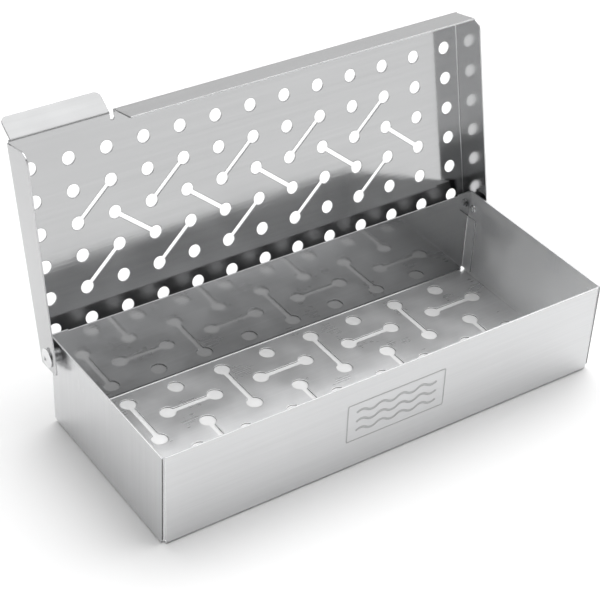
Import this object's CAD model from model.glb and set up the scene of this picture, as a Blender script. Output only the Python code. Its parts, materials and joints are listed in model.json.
# %% [markdown]
# # A stainless steel smoker box
#
# The object is a long open tray with a perforated lid, both folded from one
# millimetre steel sheet and hinged on two blind rivets. Wood chips go in the tray,
# the box stands on a grill, and smoke leaves through the holes. The shapes come
# from CAD, so this script is about steel: how a folded, punched and handled sheet
# catches a soft studio light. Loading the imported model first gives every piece
# its true size and place in metres, and nothing after this line may move it.

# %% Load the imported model
import bpy
import json
import math
from mathutils import Matrix, Vector


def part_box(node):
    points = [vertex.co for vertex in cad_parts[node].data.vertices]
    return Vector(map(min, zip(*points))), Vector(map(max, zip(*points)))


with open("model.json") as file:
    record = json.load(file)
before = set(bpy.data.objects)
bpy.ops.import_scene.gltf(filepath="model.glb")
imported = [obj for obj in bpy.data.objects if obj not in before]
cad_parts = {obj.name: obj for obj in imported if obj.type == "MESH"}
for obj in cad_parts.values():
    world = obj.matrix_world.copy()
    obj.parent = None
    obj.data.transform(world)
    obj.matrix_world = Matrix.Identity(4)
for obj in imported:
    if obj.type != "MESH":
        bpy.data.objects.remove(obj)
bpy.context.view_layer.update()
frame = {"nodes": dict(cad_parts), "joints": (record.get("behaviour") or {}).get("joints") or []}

print("pieces:", ", ".join(sorted(frame["nodes"])))

# %% [markdown]
# ## Where things are
#
# Finishes change from place to place: the tray's floor is wiped and scuffed, its
# outside is not. To say where, the script needs a few places. They could be typed
# in, but reading them from the frame keeps them right if the model changes. Only
# the sheet's thickness, the lid's lean at rest and its panel's distance from the
# hinge are typed, because the frame doesn't list them.

# %% Places taken from the frame
mm = 0.001
sheet = 1.0 * mm
tray_low, tray_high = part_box("tray")
tray_middle = (tray_low + tray_high) / 2
tray_half = (tray_high - tray_low) / 2
hinge = Vector(frame["joints"][0]["pos_m"])
lid_lean = math.radians(12.4)
lid_panel = 14.9 * mm          # from the hinge line to the lid panel's inside face

print("tray from", tuple(round(v, 4) for v in tray_low), "to",
      tuple(round(v, 4) for v in tray_high))
print("hinge line at", tuple(round(v, 4) for v in hinge))

# %% [markdown]
# ## Writing shader maths as Python
#
# A material is a graph of nodes. Wiring it by hand hides the idea behind dozens of
# lines, so a small class wraps one output socket and lets ordinary arithmetic build
# the graph: `1 - mask` adds a Math node. Numbers use Math nodes, vectors use Vector
# Math and colours use Mix, because a Math node would turn a colour grey. Every
# other kind of node comes from one method, `node`.

# %% The wire class
class Wire:
    """One output socket in a node tree, with arithmetic."""

    def __init__(self, tree, socket=None):
        self.tree = tree
        self.socket = socket

    def node(self, kind, settings=None, sockets=None, out=0):
        """Add a node: its settings first, then the values or wires of its sockets."""
        made = self.tree.nodes.new("ShaderNode" + kind)
        for name, value in (settings or {}).items():
            setattr(made, name, value)
        for name, value in (sockets or {}).items():
            if isinstance(value, Wire):
                self.tree.links.new(value.socket, made.inputs[name])
            else:
                made.inputs[name].default_value = value
        return Wire(self.tree, made.outputs[out] if made.outputs else None)

    def maths(self, operation, *values):
        """Math for numbers, Vector Math once a vector is among the values."""
        vector = any(isinstance(v, (tuple, Vector)) or
                     isinstance(v, Wire) and v.socket.type == "VECTOR" for v in values)
        kind = "VectorMath" if vector else "Math"
        return self.node(kind, {"operation": operation}, dict(enumerate(values)))

    def __add__(self, other):
        return self.maths("ADD", self, other)

    def __sub__(self, other):
        return self.maths("SUBTRACT", self, other)

    def __rsub__(self, other):
        return self.maths("SUBTRACT", other, self)

    def __mul__(self, other):
        return self.maths("MULTIPLY", self, other)

    def __abs__(self):
        return self.maths("ABSOLUTE", self)

    __radd__ = __add__
    __rmul__ = __mul__

    def between(self, low, high):
        """A smooth step: 0 up to low, 1 from high on. Falls instead if low > high."""
        sockets = {"Value": self, "From Min": low, "From Max": high}
        return self.node("MapRange", {"interpolation_type": "SMOOTHSTEP"}, sockets)

    def mix(self, first, second):
        """Blend two numbers by this mask: first where it is 0, second where it is 1."""
        return self.node("Mix", {}, {0: self, 2: first, 3: second})

    def tint(self, first, second):
        """Blend two colours by this mask."""
        sockets = {0: self, 6: first, 7: second}
        return self.node("Mix", {"data_type": "RGBA"}, sockets, out=2)

    def part(self, axis):
        """One coordinate of a vector."""
        return self.node("SeparateXYZ", {}, {"Vector": self}, out="XYZ".index(axis))

    def along(self, direction):
        """How far a point lies in a direction."""
        sockets = {0: self, 1: direction}
        return self.node("VectorMath", {"operation": "DOT_PRODUCT"}, sockets, out="Value")

    def noise(self, scale, detail=2.0, rough=0.5):
        """Soft random patches; scale is how many there are in a metre."""
        sockets = {"Vector": self, "Scale": scale, "Detail": detail, "Roughness": rough}
        return self.node("TexNoise", {}, sockets)


print("wire class ready")

# %% [markdown]
# ## Starting and ending a material
#
# Each finish is one Principled shader. It could be made first and have its sockets
# linked one by one. Here it is made last instead, when every wire that feeds it is
# known, so a finish reads from top to bottom: where, how bright, how rough, done.

# %% Material helpers
def new_material(name):
    """A material with an empty node tree, and a wire to build from."""
    material = bpy.data.materials.new(name)
    material.use_nodes = True
    material.node_tree.nodes.clear()
    return material, Wire(material.node_tree)


def surface(wire, sockets):
    """End a material with one Principled shader that has these values and wires."""
    shader = wire.node("BsdfPrincipled", {}, sockets)
    wire.node("OutputMaterial", {}, {"Surface": shader})


def dress(nodes, material):
    """Give a material to CAD nodes, without touching their shapes."""
    for node in nodes:
        slots = frame["nodes"][node].data.materials
        slots.clear()
        slots.append(material)


print("material helpers ready")

# %% [markdown]
# ## What a steel sheet looks like up close
#
# Rolled stainless has layers of detail. Fine grain runs along the sheet, and
# stretches reflections across it. The mill leaves broad, faint streaks the same
# way. Folding and punching leave the panel slightly wavy, so straight reflections
# bend. Handling leaves cloudy wipe marks, which are rougher and a little lighter,
# and oil film leaves broad soft stains. Each is a noise texture at its own real
# size. An image of brushed metal could do it too, but it would repeat and stretch
# round the folds.

# %% The layers of a steel sheet
grain_across, grain_along = 1300, 22         # patches in a metre, drawn out into lines
streaks_across, streaks_along = 330, 7
clouds_in_metre, stains_in_metre = 30, 9
cloud_squash = (1.0, 1.0, 1.6)               # wipe marks are wider than they are high
cloud_range = (0.32, 0.78)                   # the noise values of no cloud and full cloud


def stretched(place, run, across, along):
    """A place scaled so that noise on it makes long lines in direction run."""
    stretch = [across] * 3
    stretch["XYZ".index(run)] = along
    return place * tuple(stretch)


def grain_of(place, run):
    """Fine lines: long along the rolling direction, under a millimetre across."""
    lines = stretched(place, run, grain_across, grain_along)
    return lines.noise(1.0, detail=3.0, rough=0.6)


def streaks_of(place, run):
    """Broad streaks the rolling mill leaves: a few millimetres wide, very long."""
    lines = stretched(place, run, streaks_across, streaks_along)
    return lines.noise(1.0, detail=2.0, rough=0.5) - 0.5


print("grain lines are about", round(1000 / grain_across, 2), "mm wide")

# %% [markdown]
# ## One steel finish
#
# A finish is a dictionary of plain numbers or wires, so that the tray, the lid and
# the hardware can share one function. Waves and grain go to the bump. Clouds and
# stains go to roughness and colour. A Bevel node rounds the sharp cut edges in the
# light only, where real rounding would need thousands of tiny faces. Where a sheet is
# scuffed it scatters light like matt paint, which plain roughness can't do, so
# there Metallic drops below 1, and further under a wipe cloud.

# %% The steel finish
grain_in_rough = 0.04
grain_in_tone = 0.09
grain_height = 0.02 * mm
cut_rough = 0.42                             # of a sheared edge


def grey(tone):
    """Steel's own colour at a brightness: a trace cooler than neutral."""
    return (tone * 0.995, tone, tone * 1.008, 1)


def steel(place, grain, streaks, finish):
    """Wire one steel finish and end the material with it."""
    waves = place.noise(finish["waves"]) + streaks * finish["streak_height"]
    clouds = (place * cloud_squash).noise(clouds_in_metre, detail=3.0, rough=0.55)
    clouds = clouds.between(*cloud_range)
    stains = place.noise(stains_in_metre, detail=3.0)
    rough = finish["rough"] + clouds * finish["smudge"] + (grain - 0.5) * grain_in_rough
    patches = (grain - 0.5) * grain_in_tone + streaks * finish["streak"]
    patches = patches + (stains - 0.5) * finish["stain"]
    tone = finish["tone"] * (1 + patches)
    tone = tone * clouds.mix(1.0, 1.0 + finish["bloom"])
    if "cut" in finish:
        tone = finish["cut"].mix(tone, finish["cut_tone"])
        rough = finish["cut"].mix(rough, cut_rough)
    metallic = 1.0
    if "scuff" in finish:
        metallic = 1 - (finish["scuff"] + clouds * finish["wipe"])

    eased = place.node("Bevel", {"samples": 6}, {"Radius": finish["edge"]})
    sunk = place.node("Bump", {}, {"Strength": 1.0, "Distance": finish["wave_height"],
                                   "Height": waves, "Normal": eased})
    lined = place.node("Bump", {}, {"Strength": finish["grain_strength"],
                                    "Distance": grain_height, "Height": grain,
                                    "Normal": sunk})
    surface(place, {"Base Color": tone.tint(grey(0.0), grey(1.0)), "Roughness": rough,
                    "Metallic": metallic, "Normal": lined})


print("steel finish ready")

# %% [markdown]
# ## The tray's sheet
#
# The tray is one sheet, so its grain runs lengthwise on the floor and the long
# walls, and turns upwards where the end walls are folded up. Separate materials on
# separate faces would change abruptly at the folds. Instead there is one material,
# and masks read from the surface's place and direction pick the finish. The outside
# is satin, and a little duller at the back. Inside, the floor and the end walls are
# scuffed and wiped, and the back wall is still almost a mirror, which shows the
# floor's pattern a second time. The rounded folds along the long walls are darker.

# %% Tray steel: walls and floor
tray_tones = {"outside": 0.675, "floor": 0.75, "end_walls": 0.95, "front_wall": 0.66,
              "back_wall": 0.35}
tray_rough = {"outside": 0.34, "outside_ends": 0.28, "walls": 0.42, "floor": 0.27,
              "back_wall": 0.05}
square_on = (0.6, 0.8)                       # a normal's share, from slanting to facing
half_sheet = (0.4 * sheet, 0.6 * sheet)      # the step from outside to inside
fold_start, fold_end = (0.05, 0.3), (0.99, 0.9)
fold_stops = (4.0 * mm, 3.4 * mm)            # from an end wall's outside
fold_shade = 0.6
outside_back_shade, outside_back_rough = 0.66, 0.08


def tray_places(wire):
    """Coordinates and masks of the tray, by name."""
    place = wire.node("TexCoord", out="Object")
    facing = wire.node("TexCoord", out="Normal")
    x, y, z = (place.part(axis) for axis in "XYZ")
    to_end = tray_half.x - abs(x - tray_middle.x)      # in from an end wall's outside
    to_wall = tray_half.y - abs(y - tray_middle.y)     # and from a long wall's outside
    inside = (to_end.between(*half_sheet) * to_wall.between(*half_sheet)
              * z.between(*half_sheet))
    on_end = abs(facing.part("X")).between(*square_on)
    on_floor = facing.part("Z").between(*square_on)
    backwards = facing.part("Y").between(*square_on)   # as the front wall's inside faces
    return {"place": place, "facing": facing, "y": y, "z": z, "to_end": to_end,
            "to_wall": to_wall, "inside": inside, "on_end": on_end,
            "on_floor": on_floor, "backwards": backwards,
            # what is left faces forwards: inside the tray, that is the back wall
            "mirror": 1 - on_floor.mix(on_end + backwards, 1.0)}


def tray_walls(at):
    """Tone and roughness of the tray's broad faces."""
    tones, roughs = tray_tones, tray_rough
    tone = at["on_end"].mix(tones["floor"], tones["end_walls"])
    tone = at["backwards"].mix(tone, tones["front_wall"])
    tone = at["inside"].mix(tones["outside"], at["mirror"].mix(tone, tones["back_wall"]))
    slope = at["facing"].part("Z")
    fold = at["inside"] * slope.between(*fold_start) * slope.between(*fold_end)
    near_end = at["to_end"].between(*fold_stops)
    tone = tone * fold.mix(1.0, near_end.mix(fold_shade, 1.0))
    outer = at["on_end"].mix(roughs["outside"], roughs["outside_ends"])
    inner = at["on_floor"].mix(roughs["walls"], roughs["floor"])
    rough = at["inside"].mix(outer, at["mirror"].mix(inner, roughs["back_wall"]))
    back = (1 - at["inside"]) * at["backwards"]
    return tone * back.mix(1.0, outside_back_shade), rough + back * outside_back_rough


print("tray tones:", tray_tones)

# %% [markdown]
# ## Cut edges, seams and the engraved pattern
#
# A punch shears the upper half of a hole's wall bright and tears the lower half,
# which stays dark. The rims are plain sheared edges. The open corner seams are
# narrow and dark, and the engraved pattern is a shade duller than the sheet
# round it. All of them are real shapes in the model already. Separate materials on
# their faces could shade them, but a mask that knows their depth does it without
# touching the mesh.

# %% Tray steel: edges and marks
rim_tone, sheared_tone, torn_tone = 0.52, 0.95, 0.15
seam_shade = 0.35
seam_depth = (1.05 * sheet, 0.95 * sheet)    # in from an end wall's outside
seam_foot = (3.2 * mm, 4 * mm)               # above the square cut-out at the bottom
rim_depth = (1.2 * sheet, 1.0 * sheet)       # down from the tray's highest point
hole_top = (0.98 * sheet, 0.94 * sheet)      # heights in the floor's thickness
hole_bottom = (0.02 * sheet, 0.06 * sheet)
torn_below = (0.55 * sheet, 0.35 * sheet)
upright = (0.3, 0.2)                         # a normal's share along Z
off_walls = (3 * mm, 4 * mm)                 # holes stand clear of every wall
etched_shade, etched_rough = 0.72, 0.12
etched_top = (0.05 * mm, 0.09 * mm)          # in from the front wall's outside
etched_bottom = (0.21 * mm, 0.17 * mm)
off_ends, off_floor = (30 * mm, 40 * mm), (8 * mm, 12 * mm)    # clear of the folds


def tray_edges(at, tone):
    """The tray's tone with its seams, its mask of cut faces and their own tone."""
    z, facing = at["z"], at["facing"]
    sideways = facing.part("Y") * facing.part("Y")
    seam = sideways.between(0.8, 0.9) * at["to_end"].between(*seam_depth)
    seam = seam * z.between(*seam_foot)
    rim = (tray_high.z - z).between(*rim_depth) * at["on_floor"]
    punched = z.between(*hole_top) * z.between(*hole_bottom)
    punched = punched * abs(facing.part("Z")).between(*upright)
    punched = punched * at["to_end"].between(*off_walls) * at["to_wall"].between(*off_walls)
    torn = z.between(*torn_below)
    cut_tone = punched.mix(rim_tone, torn.mix(sheared_tone, torn_tone))
    return tone * seam.mix(1.0, seam_shade), rim + punched, cut_tone


def tray_etching(at):
    """A mask of the engraved pattern's bottom, by its depth in the front wall."""
    depth = at["y"] - tray_low.y
    etched = depth.between(*etched_top) * depth.between(*etched_bottom)
    return etched * at["to_end"].between(*off_ends) * at["z"].between(*off_floor)


print("edge tones:", rim_tone, sheared_tone, torn_tone)

# %% [markdown]
# ## Putting the tray's finish together
#
# The numbers here say how much of each layer shows. The mask `handled` is 1 on the
# floor, the front wall's inside and the end walls' insides. There the clouds,
# stains and scuffs are strong and the grain is nearly worn out of the bump. The end
# walls are wiped more than they are scuffed. A lighter hand everywhere else keeps
# the outside clean.

# %% Tray steel: the finish
def tray_steel():
    material, wire = new_material("tray_steel")
    at = tray_places(wire)
    place, on_end = at["place"], at["on_end"]
    tone, rough = tray_walls(at)
    tone, cut, cut_tone = tray_edges(at, tone)
    etched = tray_etching(at)
    handled = at["inside"] * (1 - at["mirror"])
    grain = on_end.mix(grain_of(place, "X"), grain_of(place, "Z"))
    streaks = on_end.mix(streaks_of(place, "X"), streaks_of(place, "Z"))
    steel(place, grain, streaks, {
        "tone": tone * etched.mix(1.0, etched_shade),
        "rough": rough + etched * etched_rough,
        "cut": cut, "cut_tone": cut_tone,
        "smudge": handled.mix(0.04, 0.12),
        "stain": handled.mix(0.08, 0.35),
        "bloom": handled.mix(0.0, on_end.mix(0.10, 0.30)),
        "scuff": handled * on_end.mix(0.34, 0.12),
        "wipe": handled * on_end.mix(0.08, 0.42),
        "streak": 0.08, "streak_height": 0.02,
        "waves": 11, "wave_height": 0.25 * mm,
        "grain_strength": handled.mix(0.5, 0.03), "edge": 0.35 * mm})
    return material


dress(["tray"], tray_steel())
print("tray finished")

# %% [markdown]
# ## The lid's sheet
#
# The lid is folded the same way. At rest it leans back, so "up the panel" is a
# tilted direction. The lid could be turned upright for its material, but nothing
# may move it. Dot products with the tilted directions give each point's place in
# the lid's own axes instead: how far it is up the panel and how deep, both from the
# hinge line. The depth tells the panel from its flanges and the inside from the
# outside. The polished inside shows the tray below it. The lifting tab is duller,
# and the flanges' free edges are bare cut steel.

# %% Lid steel
lid_tones = {"outside": 0.67, "inside": 0.49, "grip": 0.36}
lid_rough = {"outside": 0.34, "panel": 0.09, "flanges": 0.16, "grip": 0.45}
grip_foot = (134.0 * mm, 134.8 * mm)         # up the panel, from the hinge line
grip_right = (-93 * mm, -95 * mm)            # the tab is left of this
panel_to_flange = (lid_panel - 1.0 * mm, lid_panel - 2.5 * mm)
free_edges = (lid_panel - 5 * mm, lid_panel - 6 * mm)
up = Vector((0, math.sin(lid_lean), math.cos(lid_lean)))
outwards = Vector((0, math.cos(lid_lean), -math.sin(lid_lean)))


def lid_steel():
    material, wire = new_material("lid_steel")
    place = wire.node("TexCoord", out="Object") - tuple(hinge)
    facing = wire.node("TexCoord", out="Normal")
    own = wire.node("CombineXYZ", {}, {"X": place.part("X"), "Y": place.along(up),
                                       "Z": place.along(outwards)})
    on_end = abs(facing.part("X")).between(*square_on)
    grain = on_end.mix(grain_of(own, "X"), grain_of(own, "Z"))
    depth = own.part("Z")
    inside = depth.between(lid_panel + 0.6 * sheet, lid_panel + 0.4 * sheet)
    on_flange = depth.between(*panel_to_flange)
    on_grip = own.part("Y").between(*grip_foot) * own.part("X").between(*grip_right)
    inwards = facing.along(tuple(outwards)).between(-0.85, -0.95)
    tone = inside.mix(lid_tones["outside"], lid_tones["inside"])
    rough = inside.mix(lid_rough["outside"],
                       on_flange.mix(lid_rough["panel"], lid_rough["flanges"]))
    steel(own, grain, streaks_of(own, "X"), {
        "tone": on_grip.mix(tone, lid_tones["grip"]),
        "rough": on_grip.mix(rough, lid_rough["grip"]),
        "cut": inwards * depth.between(*free_edges),
        "cut_tone": 0.78, "smudge": 0.04, "stain": 0.06, "bloom": 0.0,
        "streak": 0.14, "streak_height": 0.03, "waves": 8, "wave_height": 0.45 * mm,
        "grain_strength": 0.5, "edge": 0.6 * mm})
    return material


dress(["lid"], lid_steel())
print("lid finished")

# %% [markdown]
# ## Rivets, mandrels and spacers
#
# These are small turned and headed pieces. Their marks are rings and tiny dents
# from the setting tool, not a sheet's long grain. Rings could be a wave texture,
# but its lines are too even. Here the distance from the hinge line is stretched and
# given to a noise, which makes rings of uneven strength. The rivets are bright, the
# broken mandrel stubs are lighter and rougher, and the washers are dull.

# %% Hinge hardware
rings_out, rings_along = 3000, 900           # rings in a metre, out and along the pin
pits_in_metre, dents_in_metre = 900, 420


def turned_steel(name, tone, rough, dent_height):
    """A small headed piece: fine rings round the hinge line, and dents."""
    material, wire = new_material(name)
    place = wire.node("TexCoord", out="Object") - tuple(hinge)
    square = place * (0.0, 1.0, 1.0)
    radius = wire.node("VectorMath", {"operation": "LENGTH"}, {0: square}, out="Value")
    rings = wire.node("CombineXYZ", {}, {"X": radius * rings_out,
                                         "Y": place.part("X") * rings_along})
    pitted = place.noise(pits_in_metre, detail=3.0)
    grain = rings.noise(1.0) * 0.6 + pitted * 0.4
    steel(place, grain, pitted - 0.5, {
        "tone": tone, "rough": rough, "smudge": 0.12, "stain": 0.10, "bloom": 0.0,
        "streak": 0.0, "streak_height": 0.0,
        "waves": dents_in_metre, "wave_height": dent_height,
        "grain_strength": 0.5, "edge": 0.2 * mm})
    return material


hardware = {
    "rivet": turned_steel("rivet_steel", 0.74, 0.20, 0.04 * mm),
    "mandrel": turned_steel("mandrel_steel", 0.82, 0.38, 0.06 * mm),
    "spacer": turned_steel("spacer_steel", 0.55, 0.32, 0.03 * mm),
}
for kind, material in hardware.items():
    dress([kind + "_left", kind + "_right"], material)
print("hardware finished:", ", ".join(hardware))

# %% [markdown]
# ## The studio floor
#
# The box stands on white paper. A large plane is enough, because the long lens sees
# only a little of it. A curved backdrop would do too, but nothing of it would show.
# The paper is a little under pure white and has a faint mottle, so that it still
# takes a soft shadow and the steel has something to reflect.

# %% Floor
floor_reach = 6.0
paper_dark = (0.90, 0.90, 0.90, 1)
paper_light = (0.93, 0.93, 0.93, 1)


def studio_floor():
    """A wide plane of white paper under the box."""
    mesh = bpy.data.meshes.new("studio_floor")
    corners = [(-floor_reach, -floor_reach, 0), (floor_reach, -floor_reach, 0),
               (floor_reach, floor_reach, 0), (-floor_reach, floor_reach, 0)]
    mesh.from_pydata(corners, [], [(0, 1, 2, 3)])
    floor = bpy.data.objects.new("studio_floor", mesh)
    bpy.context.scene.collection.objects.link(floor)
    material, wire = new_material("studio_paper")
    mottle = wire.node("TexCoord", out="Object").noise(2.0)
    surface(wire, {"Base Color": mottle.tint(paper_dark, paper_light),
                   "Roughness": 0.9, "Specular IOR Level": 0.0})
    mesh.materials.append(material)


studio_floor()
print("floor reaches", floor_reach, "m each way")

# %% [markdown]
# ## The light
#
# Polished steel has almost no colour of its own: it shows the room. So the room is
# the real material here. It is grey in front and lighter behind, which gives the
# lid's dark band and the smoky inner walls, and one broad soft lamp high to the
# right brings out the outside and the tray's floor. Area lamps could do it, but
# their edges show up as lines in the lid. A world whose brightness changes smoothly
# with direction has no edges.

# %% Light
lamp = Vector((0.43, 0.14, 0.88)).normalized()
lamp_rim, lamp_heart = 0.64, 0.97            # cosines of the angle from its middle
lamp_power = 2.7
room_front, room_back = 0.24, 0.85


def studio_world():
    """A grey room, lighter at the back, with one broad soft lamp high on the right."""
    world = bpy.data.worlds.new("studio")
    bpy.context.scene.world = world
    world.use_nodes = True
    world.node_tree.nodes.clear()
    wire = Wire(world.node_tree)
    towards = wire.node("TexCoord", out="Generated")
    glow = towards.along(tuple(lamp)).between(lamp_rim, lamp_heart)
    back = towards.part("Y").between(-0.3, 0.8)
    light = back.mix(room_front, room_back) + glow * lamp_power
    sky = wire.node("Background", {}, {"Color": (1, 1, 1, 1), "Strength": light})
    wire.node("OutputWorld", {}, {"Surface": sky})


studio_world()
bpy.context.scene.view_settings.view_transform = "Standard"
print("lamp towards", tuple(round(v, 2) for v in lamp))

# %% [markdown]
# ## The camera
#
# The box is seen from the front left and from above, through a long lens that keeps
# its edges almost parallel. A camera can be aimed with a constraint, but this view
# also has a slight roll, so the camera stands at a measured place and is turned by
# its heading, its tilt and its roll.

# %% Camera
camera_place = Vector((-0.5393, -0.7225, 0.7202))
heading = math.radians(35.635)               # from +Y towards +X
down = math.radians(35.832)
roll = math.radians(2.861)

lens = bpy.data.cameras.new("camera")
lens.sensor_width = 36.0
lens.lens = 107.17
lens.shift_x = -0.0099
lens.shift_y = 0.0075
lens.clip_start = 0.05
camera = bpy.data.objects.new("camera", lens)
bpy.context.scene.collection.objects.link(camera)
turn = (Matrix.Rotation(-heading, 4, "Z") @ Matrix.Rotation(math.pi / 2 - down, 4, "X")
        @ Matrix.Rotation(roll, 4, "Z"))
camera.matrix_world = Matrix.Translation(camera_place) @ turn
bpy.context.scene.camera = camera
print("camera at", tuple(round(v, 3) for v in camera_place))
